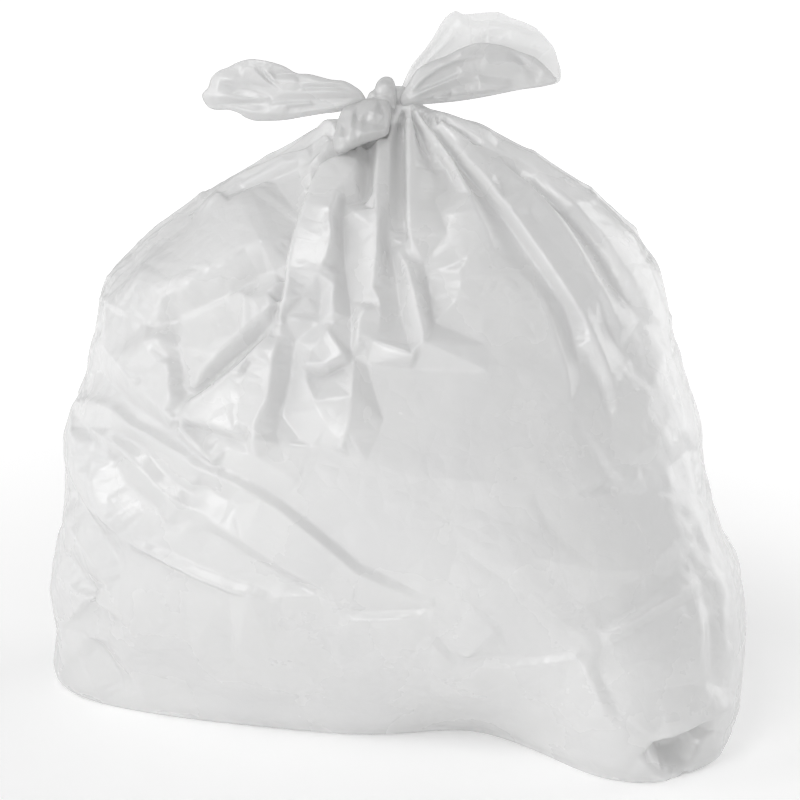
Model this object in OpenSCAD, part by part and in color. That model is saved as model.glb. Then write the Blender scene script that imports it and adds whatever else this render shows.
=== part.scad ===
// A thin film bin bag, filled, stood on the floor and tied with a knot in its own mouth.
// It is one film, so it is one closed solid, with the contents taken as part of it.
// +X is the right of the bag, -Y its front and +Z up. The origin lies on the floor, under the
// middle of the bag's outline.

/* [Filled bag] */
// Width of the sections, left to right
bag_w = 450; // [360:2:560]
// Depth of the sections, front to back
bag_d = 280; // [220:2:360]
// Height of the middle of the knot above the floor
knot_h = 392; // [320:4:500]
// Turn of the base, which brings its right end forward
base_turn = 14; // [0:1:20]
// How far the right corner of the base stands out
right_corner = 20; // [0:2:60]
// How far the base is pushed to the front at that corner
right_toe = 34; // [0:2:40]
// How far the base is drawn in beside it
toe_dent = 26; // [0:2:36]
// How far the left corner of the base stands out
left_corner = 14; // [0:2:30]

/* [Neck] */
// Radius of the gathered film in the grip of the knot
neck_r = 13; // [10:1:18]
// Number of pleats that the film is gathered into
pleats = 20; // [12:4:24]
// Depth of the pleats near the knot
pleat_depth = 12; // [4:1:18]

/* [Knot] */
// Thickness of the bunched film that is wound round the neck
strand_d = 20; // [15:1:25]
// Turns that it makes, from the left ear to the right ear
wraps = 1.5; // [1.35:0.05:1.6]

/* [Ears] */
// Length of the left ear, from the knot to its tip
left_l = 98; // [80:2:140]
// Width of the left ear at its broadest
left_w = 40; // [28:1:60]
// Length of the right ear, from the knot to its tip
right_l = 106; // [80:2:140]
// Width of the right ear at its broadest
right_w = 62; // [40:1:80]
// Thickness of the bunched film of an ear, beside the knot
ear_t = 20; // [14:1:30]

/* [Hidden] */

film = [0.9, 0.9, 0.9];
half_w = bag_w / 2;
half_d = bag_d / 2;

// Sections of the filled bag, from the floor to the neck: height as a share of neck_h, reach to
// the left and to the right as shares of half_w, reach to the front and to the back as shares of
// half_d, and squareness of the outline, where 2 is an ellipse.
SECTIONS = [
    [0.000, 0.99, 0.98, 0.46, 0.82, 3.4],
    [0.035, 1.01, 1.01, 0.55, 0.90, 3.2],
    [0.100, 1.01, 1.02, 0.68, 0.97, 2.9],
    [0.187, 1.02, 1.02, 0.82, 1.00, 2.7],
    [0.265, 1.00, 0.99, 0.92, 1.00, 2.5],
    [0.357, 0.95, 0.92, 0.96, 0.99, 2.5],
    [0.440, 0.95, 0.89, 0.95, 0.97, 2.4],
    [0.510, 0.93, 0.87, 0.93, 0.93, 2.4],
    [0.577, 0.88, 0.83, 0.89, 0.87, 2.3],
    [0.645, 0.85, 0.79, 0.82, 0.81, 2.3],
    [0.705, 0.83, 0.77, 0.75, 0.75, 2.2],
    [0.765, 0.75, 0.72, 0.67, 0.67, 2.2],
    [0.858, 0.55, 0.57, 0.51, 0.51, 2.1],
    [0.920, 0.36, 0.40, 0.28, 0.34, 2.0],
    [0.962, 0.23, 0.25, 0.15, 0.21, 2.0]
];
neck_h = knot_h + strand_d * 0.4;   // where the film is narrowest, in the knot
rings_per_section = 2;
columns = pleats * 6;
neck_at = [2, 0];                   // the neck stands a little right of the middle
knot_at = neck_at - [7, 4];         // and the knot a little left of it and in front

// Places of the toe and of the dent as shares of half_w, and their half width
TOE_X = 0.75;
DENT_X = 0.27;
TOE_W = 45;

// Long slack folds: side of the bag, with -1 for the front, then the two ends as shares of
// half_w and neck_h, the depth and the half width.
FOLDS = [
    [-1, [-0.80, 0.62], [0.16, 0.16], 10, 22],
    [-1, [-0.24, 0.84], [-0.42, 0.46], 9, 17],
    [-1, [0.04, 0.86], [0.10, 0.54], 8, 15],
    [-1, [0.36, 0.80], [0.72, 0.46], 9, 17],
    [-1, [0.12, 0.20], [0.46, 0.00], 9, 17],
    [1, [-0.18, 0.86], [-0.50, 0.40], 9, 19],
    [1, [0.12, 0.88], [0.22, 0.44], 8, 17],
    [1, [0.80, 0.58], [-0.10, 0.18], 9, 20]
];

// Lean of each ear from upright
left_lean = 90;
right_lean = 71;

// Steps of the strand round the neck, and of an ear's loft
strand_steps = 22;
ear_rings = 13;
ear_columns = 32;

function last(list) = list[len(list) - 1];
function total(list, i = 0) = i < len(list) ? list[i] + total(list, i + 1) : 0;
function middle(ring) = [for (p = ring) 1 / len(ring)] * ring;
function smooth(t) = t <= 0 ? 0 : t >= 1 ? 1 : t * t * (3 - 2 * t);
function band(v, from, to) = smooth((v - from) / (to - from));
function rounded(v, p) = sign(v) * pow(abs(v), p);

// A curve through four stations, at t between the second and the third of them
function through(a, b, c, d, t) =
    ((2 * t * t - t * t * t - t) * a + (2 - 5 * t * t + 3 * t * t * t) * b
     + (t + 4 * t * t - 3 * t * t * t) * c + (t * t * t - t * t) * d) / 2;

function section(u) =
    let (i = min(floor(u), len(SECTIONS) - 2), top = len(SECTIONS) - 1)
    through(SECTIONS[max(i - 1, 0)], SECTIONS[i], SECTIONS[i + 1],
            SECTIONS[min(i + 2, top)], u - i);

// Gathered film: sharp ridges and round valleys, 0 on a ridge and 1 in a valley. The angle is
// warped a little, because hand gathered pleats aren't equal.
function valley(angle, count, shift) =
    let (a = angle + 7 * sin(2 * angle + 40) + 4 * sin(3 * angle))
    pow(abs(sin(count * a / 2 + shift)), 1.2);

// All the pleats start at the neck, and they run together into fewer, wider ones lower down
function pleat_in(angle, share, r) =
    min(pleat_depth, 0.36 * r) * (
        band(share, 0.76, 0.93) * valley(angle, pleats, 0)
        + 1.1 * band(share, 0.58, 0.78) * (1 - band(share, 0.86, 0.98))
          * valley(angle, pleats / 2, 25)
        + 0.8 * band(share, 0.34, 0.60) * (1 - band(share, 0.76, 0.92))
          * valley(angle, pleats / 4, 60));

// Distance from a point to the line of a fold
function off_line(p, a, b) =
    let (ab = b - a, t = min(max((p - a) * ab / (ab * ab), 0), 1))
    norm(p - a - t * ab);

function fold_in(side, x, z) = total([
    for (f = FOLDS) if (f[0] == side)
        let (a = [f[1].x * half_w, f[1].y * neck_h], b = [f[2].x * half_w, f[2].y * neck_h])
        f[3] * exp(-pow(off_line([x, z], a, b) / f[4], 2))
]);

// Angle from one direction to another, between -180 and 180
function apart(angle, from) = (angle - from + 540) % 360 - 180;

// The corners of the base stand out low down, on the right to the front and on the left to the
// back
function corner(angle, share) =
    right_corner * (1 - band(share, 0.02, 0.42)) * exp(-pow(apart(angle, 322) / 19, 2))
    + left_corner * (1 - band(share, 0, 0.25)) * exp(-pow(apart(angle, 174) / 12, 2));

// The toe of the right corner and the dent beside it, as a push to the front at a place along x
function toe(x, share) =
    right_toe * (1 - band(share, 0, 0.34)) * exp(-pow((x - TOE_X * half_w) / TOE_W, 2))
    - toe_dent * (1 - band(share, 0, 0.17)) * exp(-pow((x - DENT_X * half_w) / TOE_W, 2));

function body_point(s, angle) =
    let (share = s[0],
         side = sign(sin(angle)),
         reach_y = half_d * (s[3] + (s[4] - s[3]) * band(sin(angle), -0.5, 0.5)),
         x0 = half_w * (s[1] + s[2]) / 2 * rounded(cos(angle), 2 / s[5]),
         y0 = reach_y * rounded(sin(angle), 2 / s[5]),
         r = norm([x0, y0]),
         grow = 1 + (corner(angle, share) - pleat_in(angle, share, r)) / r,
         x = x0 * grow + (s[2] - s[1]) / 2 * half_w,
         y = y0 * grow - side * band(abs(sin(angle)), 0.1, 0.7)
             * fold_in(side, x0, share * neck_h) - band(-sin(angle), 0, 0.5) * toe(x, share),
         turn = -base_turn * (1 - band(share, 0.1, 0.7)))
    [x * cos(turn) - y * sin(turn), x * sin(turn) + y * cos(turn), share * neck_h];

// Rings of the neck, from where the film enters the knot to the tuft on top of it: height,
// radius, and share of the pleats, which the knot's grip presses flat
NECK = [
    [neck_h, neck_r * 1.1, 1],
    [neck_h + strand_d * 0.2, neck_r, 0],
    [neck_h + strand_d * 0.4, neck_r * 0.9, 0],
    [neck_h + strand_d * 0.55, neck_r * 0.6, 0.5]
];

function neck_point(n, angle) =
    let (r = n[1] - n[2] * pleat_in(angle, 1, n[1]))
    [neck_at.x + r * cos(angle), neck_at.y + r * sin(angle), n[0]];

around = [for (j = [0:columns - 1]) j * 360 / columns];
body_rings = concat(
    [for (i = [0:(len(SECTIONS) - 1) * rings_per_section])
        [for (a = around) body_point(section(i / rings_per_section), a)]],
    [for (n = NECK) [for (a = around) neck_point(n, a)]]
);
outline_x = [for (ring = body_rings, p = ring) p.x];
outline_y = [for (ring = body_rings, p = ring) p.y];
outline_mid = [(max(outline_x) + min(outline_x)) / 2, (max(outline_y) + min(outline_y)) / 2];

// The strand starts at the left ear, winds round the neck while it comes down, and turns up
// again to the right ear
function strand(t) =
    let (angle = 180 + 360 * wraps * t, out = neck_r * 0.6 + strand_d * 0.12)
    [knot_at.x + out * cos(angle), knot_at.y + out * sin(angle),
     knot_h + strand_d * (0.55 - 1.25 * band(t, 0, 0.7) + 0.9 * band(t, 0.6, 1))];

// Outline of an ear: narrow at the knot, broadest past its middle and blunt at its tip
function leaf(t) = t < 0.62 ? pow(t / 0.62, 0.8) : sqrt(1 - pow((t - 0.62) / 0.39, 2));

// Film of an ear: its pleats fan out from the knot, and it thins towards the tip
function ear_ring(t, l, w) =
    let (root = strand_d * 0.4,
         half = root + (w / 2 - root) * leaf(t) - root * band(t, 0.8, 1) * 0.6,
         thick = ear_t * (0.42 - 0.26 * band(t, 0, 0.7)),
         wave = 0.11 * w * band(t, 0.05, 0.6) * (1 - band(t, 0.72, 1)))
    [for (j = [0:ear_columns - 1])
        let (a = j * 360 / ear_columns, across = cos(a))
        [half * across + 0.07 * l * sin(180 * t),
         thick * rounded(sin(a), 0.8) + wave * cos(500 * across + 40) * (1 - across * across)
         - 0.10 * l * t * t,
         l * t]];

// Closed skin through a list of rings. Each ring is anticlockwise, seen from the last ring.
module skin(rings) {
    n = len(rings[0]);
    m = len(rings);
    points = concat([for (ring = rings) each ring], [middle(rings[0]), middle(last(rings))]);
    sides = [
        for (i = [0:m - 2], j = [0:n - 1])
            let (k = (j + 1) % n, a = i * n + j, b = i * n + k)
            each [[a, a + n, b], [b, a + n, b + n]]
    ];
    ends = [
        for (j = [0:n - 1])
            let (k = (j + 1) % n)
            each [[j, k, m * n], [(m - 1) * n + k, (m - 1) * n + j, m * n + 1]]
    ];
    polyhedron(points, concat(sides, ends));
}

module bead(t) {
    translate(strand(t))
        sphere(d = strand_d * (1 - 0.12 * sin(360 * wraps * t)), $fn = 14);
}

module knot() {
    for (i = [0:strand_steps - 1])
        hull() {
            bead(i / strand_steps);
            bead((i + 1) / strand_steps);
        }
}

module ear(l, w) {
    skin([for (i = [0:ear_rings]) ear_ring(i / ear_rings, l, w)]);
}

module bag() {
    color(film)
        translate([-outline_mid.x, -outline_mid.y, 0])
            union() {
                skin(body_rings);
                knot();
                translate(strand(0))
                    rotate([0, -left_lean, 0])
                        ear(left_l, left_w);
                translate(strand(1))
                    rotate([0, right_lean, 0])
                        mirror([1, 0, 0])
                            ear(right_l, right_w);
            }
}

bag();
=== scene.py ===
"""Looks of a filled bin bag, tied with a knot in its own mouth.

The film is one closed skin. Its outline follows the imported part, its folds follow the photograph
where the camera sees them, and a short relaxation in this file lets the slack film buckle.
Sizes here are in millimetres until a mesh is made, and then in metres. Places that were measured
in the photograph are pixels of its 800 by 800 frame.
"""
import math

import bpy
import numpy as np
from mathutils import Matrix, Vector
from mathutils.geometry import delaunay_2d_cdt


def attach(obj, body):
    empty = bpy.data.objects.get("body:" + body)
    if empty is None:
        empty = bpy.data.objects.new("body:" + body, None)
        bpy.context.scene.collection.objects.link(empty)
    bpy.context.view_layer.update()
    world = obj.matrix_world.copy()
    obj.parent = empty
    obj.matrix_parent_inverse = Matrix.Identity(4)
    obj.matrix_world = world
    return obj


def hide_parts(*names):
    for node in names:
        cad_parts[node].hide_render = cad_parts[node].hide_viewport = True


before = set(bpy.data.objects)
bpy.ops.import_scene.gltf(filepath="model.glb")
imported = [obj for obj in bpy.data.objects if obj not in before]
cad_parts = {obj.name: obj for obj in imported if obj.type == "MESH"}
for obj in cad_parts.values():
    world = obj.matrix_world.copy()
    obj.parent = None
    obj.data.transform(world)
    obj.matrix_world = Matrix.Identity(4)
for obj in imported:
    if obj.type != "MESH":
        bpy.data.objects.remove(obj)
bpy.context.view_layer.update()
MM = 0.001

# Camera
PICTURE = 800
LENS = 112.0
SENSOR = 36.0
DISTANCE = 1.6
ELEVATION = math.radians(15)
TARGET = np.array([0.0045, 0.0, 0.206])

AHEAD = np.array([0, math.cos(ELEVATION), -math.sin(ELEVATION)])
ABOVE = np.array([0, math.sin(ELEVATION), math.cos(ELEVATION)])
EYE = TARGET - DISTANCE * AHEAD
FOCAL = LENS / SENSOR * PICTURE


def picture(points):
    """Picture coordinates of points in millimetres."""
    ray = points * MM - EYE
    depth = ray @ AHEAD
    x = PICTURE / 2 + FOCAL * ray[..., 0] / depth
    y = PICTURE / 2 - FOCAL * (ray @ ABOVE) / depth
    return x, y


def place(x, y, depth):
    """The point in millimetres that lies behind a picture point, at a given Y."""
    ray = AHEAD * FOCAL + np.array([1.0, 0, 0]) * (x - PICTURE / 2) - ABOVE * (y - PICTURE / 2)
    point = EYE + ray * (depth * MM - EYE[1]) / ray[1]
    return point / MM


def make_camera():
    data = bpy.data.cameras.new("camera")
    data.lens = LENS
    data.sensor_width = SENSOR
    camera = bpy.data.objects.new("camera", data)
    bpy.context.scene.collection.objects.link(camera)
    camera.location = EYE
    camera.rotation_euler = (math.pi / 2 - ELEVATION, 0, 0)
    bpy.context.scene.camera = camera


# Small helpers
SPLINE_STEPS = 24
NOISE_GRID = 32
NOISE_SHIFT = 100.3


def smooth(t):
    """From 0 to 1 with level ends."""
    t = np.clip(t, 0, 1)
    return t * t * (3 - 2 * t)


def band(v, start, end):
    """0 before start, 1 after end, and smooth between them."""
    return smooth((v - start) / (end - start))


def between(a, b, c, d, t):
    """The smooth curve from b to c, where a and d are the points before and after."""
    return ((2 * t * t - t ** 3 - t) * a + (2 - 5 * t * t + 3 * t ** 3) * b
            + (t + 4 * t * t - 3 * t ** 3) * c + (t ** 3 - t * t) * d) / 2


def spline(points, count):
    """A smooth curve through points, at equal steps of its own length."""
    p = np.asarray(points, float)
    p = np.vstack([2 * p[0] - p[1], p, 2 * p[-1] - p[-2]])
    t = np.linspace(0, 1, SPLINE_STEPS, endpoint=False)[:, None]
    dense = [between(*p[i - 1:i + 3], t) for i in range(1, len(p) - 2)]
    return resample(np.vstack(dense + [p[-2:-1]]), count)


def resample(line, count, weight=None):
    """Points along a line at equal steps, or at steps in the proportion of weight."""
    step = np.linalg.norm(np.diff(line, axis=0), axis=1)
    run = np.concatenate([[0], np.cumsum(step)])
    share = np.linspace(0, 1, count) if weight is None else weight
    return np.stack([np.interp(share * run[-1], run, line[:, k]) for k in range(line.shape[1])], 1)


def noise(points, size, seed):
    """Smooth noise from -1 to 1 at points, with lumps of that size."""
    lattice = np.random.RandomState(seed).uniform(-1, 1, (NOISE_GRID,) * 3)
    p = points / size + NOISE_SHIFT
    i = np.floor(p).astype(int)
    t = smooth(p - i)
    total = np.zeros(points.shape[:-1])
    for corner in range(8):
        o = np.array([corner & 1, corner >> 1 & 1, corner >> 2 & 1])
        w = np.prod(np.where(o, t, 1 - t), axis=-1)
        k = (i + o) % NOISE_GRID
        total += w * lattice[k[..., 0], k[..., 1], k[..., 2]]
    return total


# Form of the film
HALF_W = 225.0
HALF_D = 140.0
NECK_H = 400.0
NECK_R = 13.0
NECK_AT = 2.0

# Rows that close the neck under the knot: share of its radius, and height above it
NECK_TOP = ((0.8, 3), (0.6, 6), (0.3, 8))
BASE_TURN = 14.0

# Corners of the base: how far they reach out, their angle and its spread, and how high they go
RIGHT_CORNER = (20.0, 322, 19, 0.42)
LEFT_CORNER = (14.0, 174, 12, 0.25)

# The toe that comes forward and the dent beside it: reach, place across as a share of half the
# width, and how high they go. They have the same width
TOE = (34.0, 0.75, 0.34)
DENT = (26.0, 0.27, 0.17)
TOE_W = 45.0

# Share of the height, reach to the left, right, front and back, and squareness
SECTIONS = np.array([
    [0.000, 0.99, 0.98, 0.46, 0.82, 3.4],
    [0.035, 1.01, 1.01, 0.55, 0.90, 3.2],
    [0.100, 1.01, 1.02, 0.68, 0.97, 2.9],
    [0.187, 1.02, 1.02, 0.82, 1.00, 2.7],
    [0.265, 1.00, 0.99, 0.92, 1.00, 2.5],
    [0.357, 0.95, 0.92, 0.96, 0.99, 2.5],
    [0.440, 0.95, 0.89, 0.95, 0.97, 2.4],
    [0.510, 0.93, 0.87, 0.93, 0.93, 2.4],
    [0.577, 0.88, 0.83, 0.89, 0.87, 2.3],
    [0.645, 0.85, 0.79, 0.82, 0.81, 2.3],
    [0.705, 0.83, 0.77, 0.75, 0.75, 2.2],
    [0.765, 0.75, 0.72, 0.67, 0.67, 2.2],
    [0.858, 0.55, 0.57, 0.51, 0.51, 2.1],
    [0.920, 0.36, 0.40, 0.29, 0.34, 2.0],
    [0.962, 0.22, 0.24, 0.16, 0.21, 2.0],
    [1.000, 0.050, 0.050, 0.08, 0.08, 2.0],
])
COLUMNS = 320
ROWS = 220
FLOOR_ROWS = 12
FRONT_DENSITY = 0.32
RINGS = 401
TURN_ROWS = (6, 60)
TURN_STEPS = 5


def section(share):
    """The section at a share of the height, on a smooth curve through the stations."""
    top = len(SECTIONS) - 1
    i = min(max(np.searchsorted(SECTIONS[:, 0], share) - 1, 0), top - 1)
    t = (share - SECTIONS[i, 0]) / (SECTIONS[i + 1, 0] - SECTIONS[i, 0])
    around = SECTIONS[max(i - 1, 0)], SECTIONS[i], SECTIONS[i + 1], SECTIONS[min(i + 2, top)]
    return between(*around, t)


def corner_reach(angle, share, from_share, reach, middle, spread, to_share):
    """How far a corner of the base stands out at an angle and a share of the height."""
    apart = (angle - middle + 540) % 360 - 180
    return reach * ((1 - band(share, from_share, to_share)) * np.exp(-(apart / spread) ** 2))


def bulge(x, share, reach, middle, to_share):
    """How far the toe or the dent beside it reaches, at a place across."""
    return reach * (1 - band(share, 0, to_share)) * np.exp(-((x - middle * HALF_W) / TOE_W) ** 2)


def ring(share):
    """One closed section of the bag, from the middle of the front round to the right."""
    s = section(share)
    half = COLUMNS // 2
    even = np.linspace(0, 1, half + 1)
    share_of_side = even - FRONT_DENSITY * np.sin(2 * math.pi * even) / (2 * math.pi)
    share_of_side = share_of_side - FRONT_DENSITY * 0.5 * np.sin(math.pi * even) / math.pi
    sides = []
    for start in (270, 450):
        angle = np.linspace(start, start + 180, 361) % 360
        c, n = np.cos(np.radians(angle)), np.sin(np.radians(angle))
        reach = HALF_D * (s[3] + (s[4] - s[3]) * band(n, -0.5, 0.5))
        x = HALF_W * (s[1] + s[2]) / 2 * np.sign(c) * np.abs(c) ** (2 / s[5])
        y = reach * np.sign(n) * np.abs(n) ** (2 / s[5])
        r = np.hypot(x, y)
        right = corner_reach(angle, share, 0.02, *RIGHT_CORNER)
        left = corner_reach(angle, share, 0.0, *LEFT_CORNER)
        grow = 1 + (right + left) / r
        x = x * grow + (s[2] - s[1]) / 2 * HALF_W
        y = y * grow - band(-n, 0, 0.5) * (bulge(x, share, *TOE) - bulge(x, share, *DENT))
        line = np.stack([x, y], 1)
        weight = share_of_side if start == 270 else 1 - share_of_side[::-1]
        sides.append(resample(line, half + 1, weight)[:-1])
    flat = np.vstack(sides)
    turn = -math.radians(BASE_TURN * (1 - band(share, 0.1, 0.7)))
    spin = np.array([[math.cos(turn), math.sin(turn)], [-math.sin(turn), math.cos(turn)]])
    flat = flat @ spin
    return np.hstack([flat, np.full((len(flat), 1), share * NECK_H)])


def film_base():
    """The film's smooth form as rows of points, from the middle of the underside up to the neck."""
    dense = np.linspace(0, 1, RINGS)
    rings = np.array([ring(s) for s in dense])
    rings[..., 0] += NECK_AT * band(dense, 0.95, 1)[:, None]
    step = np.linalg.norm(np.diff(rings, axis=0), axis=2)
    run = np.concatenate([[0], np.cumsum(step.mean(axis=1))])
    wall = ROWS - FLOOR_ROWS
    at = np.interp(np.linspace(0, run[-1], wall), run, dense) * (len(dense) - 1)
    low = np.minimum(at.astype(int), len(dense) - 2)
    part = (at - low)[:, None, None]
    body = rings[low] * (1 - part) + rings[low + 1] * part
    middle = rings[0].mean(axis=0)
    grow = (np.arange(FLOOR_ROWS) + 1.0)[:, None, None] / (FLOOR_ROWS + 1.0)
    under = middle + (rings[0] - middle) * grow
    rows = np.concatenate([under, body])
    low_corner, high_corner = rows.min(axis=(0, 1)), rows.max(axis=(0, 1))
    rows[..., :2] -= (low_corner + high_corner)[:2] / 2
    return rows


def rounded_turn(rows):
    """Rounds the turn from underside to wall."""
    first, last = TURN_ROWS
    for _ in range(TURN_STEPS):
        rows[first:last] += 0.25 * (rows[first - 1:last - 1] - 2 * rows[first:last]
                                    + rows[first + 1:last + 1])
    return rows


def normals(rows):
    """Outward normals of a closed round of rows."""
    along = np.gradient(rows, axis=0)
    across = (np.roll(rows, -1, axis=1) - np.roll(rows, 1, axis=1)) / 2
    n = np.cross(across, along)
    return n / np.maximum(np.linalg.norm(n, axis=2, keepdims=True), 1e-9)


# Folds seen in the photograph
MARGIN = 40
LAP_STEP = 8.0
RELIEF_SEED = 3

# Points of folds that lie nearer than this many pixels become one
JOINED = 0.4

# Pixels between the points of a fold, then for the loose points that are strewn between the
# folds their step and their least way from a fold in pixels, and their height in millimetres
FILM_RELIEF = (8, 46, 26, 0.8)
LEAF_RELIEF = (6, 16, 9, 0.35)

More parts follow.
